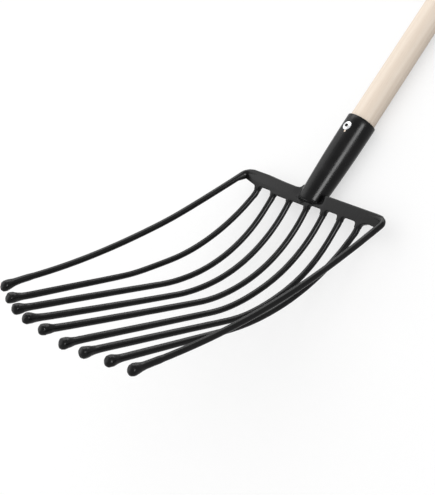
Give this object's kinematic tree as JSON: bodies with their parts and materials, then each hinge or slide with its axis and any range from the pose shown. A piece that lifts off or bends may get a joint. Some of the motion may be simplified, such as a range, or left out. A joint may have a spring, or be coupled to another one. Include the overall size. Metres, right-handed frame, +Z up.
{
  "type": "manure fork",
  "caption": "Long handled fork with close knob ended tines in a dished head, a tapered steel socket and a wooden shaft with a T grip.",
  "frame": {"origin": "middle of the bounding box at its underside, which is the lowest line of the socket mouth", "axes": "+Y along the handle towards the grip, +Z up out of the hollow side of the head, +X across the head"},
  "size_m": [0.3008, 1.4614, 0.2687],
  "materials": {
    "raw_wood": "raw pale hardwood, turned and sanded",
    "pin_wood": "end grain of a sanded dowel",
    "black_lacquer": "semi gloss black lacquer on forged steel",
    "zinc": "bright zinc plate"
  },
  "bodies": {
    "root": {"handle_shaft": "raw_wood", "t_grip": "raw_wood", "grip_pin": "pin_wood", "socket": "black_lacquer", "socket_screw": "zinc", "back_bar": "black_lacquer", "tine_1": "black_lacquer", "tine_2": "black_lacquer", "tine_3": "black_lacquer", "tine_4": "black_lacquer", "tine_5": "black_lacquer", "tine_6": "black_lacquer", "tine_7": "black_lacquer", "tine_8": "black_lacquer", "tine_9": "black_lacquer"}
  },
  "joints": []
}
